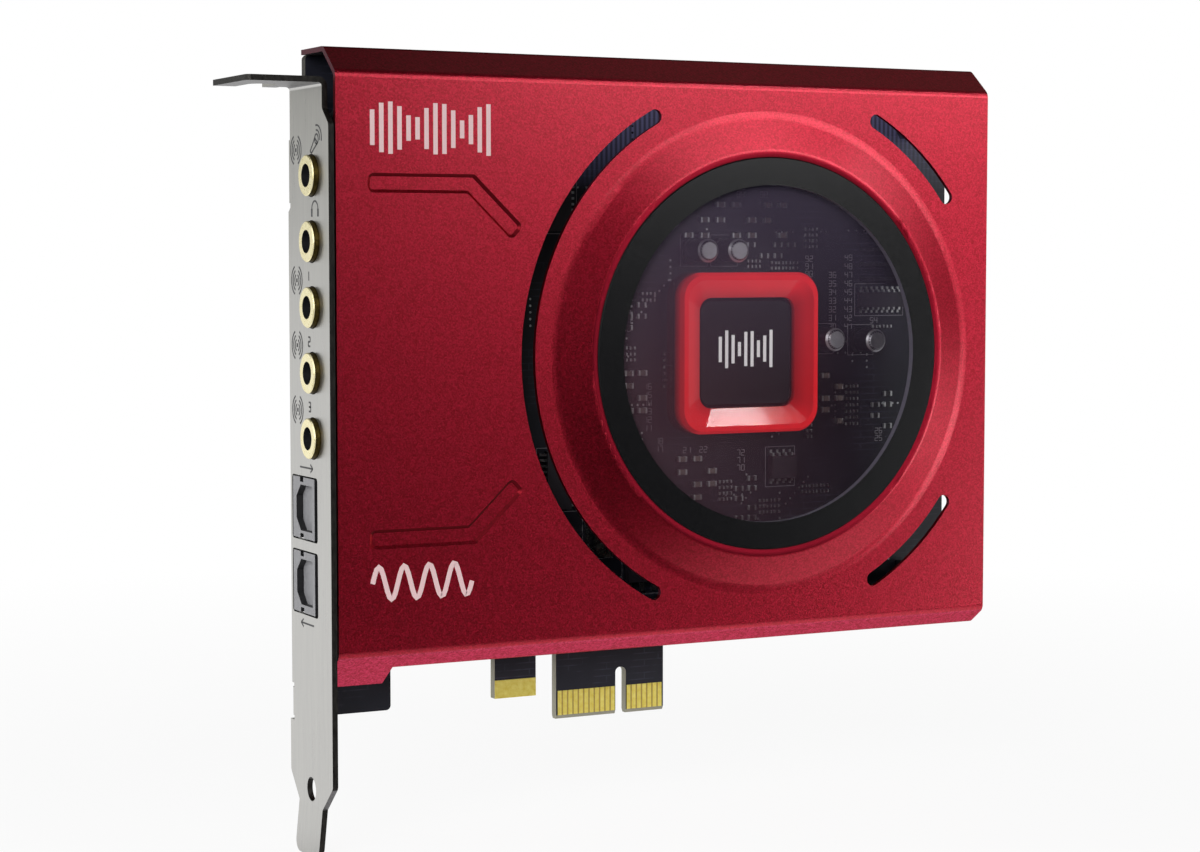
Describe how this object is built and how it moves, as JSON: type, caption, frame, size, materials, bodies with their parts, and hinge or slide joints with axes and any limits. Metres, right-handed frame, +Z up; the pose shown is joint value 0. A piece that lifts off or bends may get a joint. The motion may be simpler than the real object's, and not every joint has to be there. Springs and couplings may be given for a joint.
{
  "type": "sound card",
  "caption": "Upright PC sound card: keyed board under a red folded shroud with a round smoked window, on a steel bracket with round jacks and shuttered optical sockets.",
  "frame": {"origin": "middle of the key notch of the edge connector, on the board's middle plane, at the lower end of the edge", "axes": "+X along the card away from the bracket, -Y out of the component side towards the shroud, +Z up"},
  "size_m": [0.135, 0.019, 0.1257],
  "materials": {
    "board_black": "satin solder mask",
    "gold_plate": "polished plating",
    "bracket_steel": "satin nickel plating",
    "screw_steel": "zinc plating",
    "jack_plastic": "satin",
    "optic_plastic": "satin",
    "sensor_plastic": "gloss",
    "shroud_paint": "metallic satin",
    "bezel_black": "satin",
    "smoked_pane": "polished",
    "lamp_red": "gloss",
    "chip_black": "satin",
    "led_clear": "gloss",
    "can_aluminium": "satin",
    "ceramic_tan": "matt",
    "resistor_black": "satin",
    "crystal_nickel": "satin",
    "tinned": "bright"
  },
  "bodies": {
    "card": {"board": "board_black", "edge_contacts_front": "gold_plate", "edge_contacts_back": "gold_plate", "tab_plating": "gold_plate", "io_bracket": "bracket_steel", "bracket_screws": "screw_steel", "shroud_screws": "screw_steel", "standoffs": "gold_plate", "jack_blades": "tinned", "optical_leads": "tinned", "shroud": "shroud_paint", "window_bezel": "bezel_black", "window_pane": "smoked_pane", "audio_processor": "chip_black", "light_frame": "lamp_red", "light_diodes": "led_clear", "capacitor_cans": "can_aluminium", "capacitor_bases": "jack_plastic", "window_chip": "chip_black", "codec_chip": "chip_black", "line_amplifiers": "chip_black", "output_converter": "chip_black", "input_converter": "chip_black", "regulators": "chip_black", "power_inductor": "resistor_black", "crystal": "crystal_nickel", "header_housing": "jack_plastic", "header_pins": "gold_plate", "chip_capacitors": "ceramic_tan", "chip_resistors": "resistor_black", "optical_emitter": "sensor_plastic", "optical_receiver": "sensor_plastic", "optical_out_body": "optic_plastic", "optical_in_body": "optic_plastic", "jack_body_1": "jack_plastic", "jack_ferrule_1": "gold_plate", "jack_body_2": "jack_plastic", "jack_ferrule_2": "gold_plate", "jack_body_3": "jack_plastic", "jack_ferrule_3": "gold_plate", "jack_body_4": "jack_plastic", "jack_ferrule_4": "gold_plate", "jack_body_5": "jack_plastic", "jack_ferrule_5": "gold_plate"},
    "shutter_out": {"optical_out_shutter": "optic_plastic"},
    "shutter_in": {"optical_in_shutter": "optic_plastic"}
  },
  "joints": [
    {"name": "shutter_out_hinge", "type": "hinge", "parent": "card", "child": "shutter_out", "pos_m": [-0.0565, -0.00875, 0.03775], "axis": [0, 0, -1], "range_deg": [0, 80], "stiffness_Nm_per_rad": 0.0002, "springref_deg": -17.19},
    {"name": "shutter_in_hinge", "type": "hinge", "parent": "card", "child": "shutter_in", "pos_m": [-0.0565, -0.00875, 0.02605], "axis": [0, 0, -1], "range_deg": [0, 80], "stiffness_Nm_per_rad": 0.0002, "springref_deg": -17.19}
  ]
}
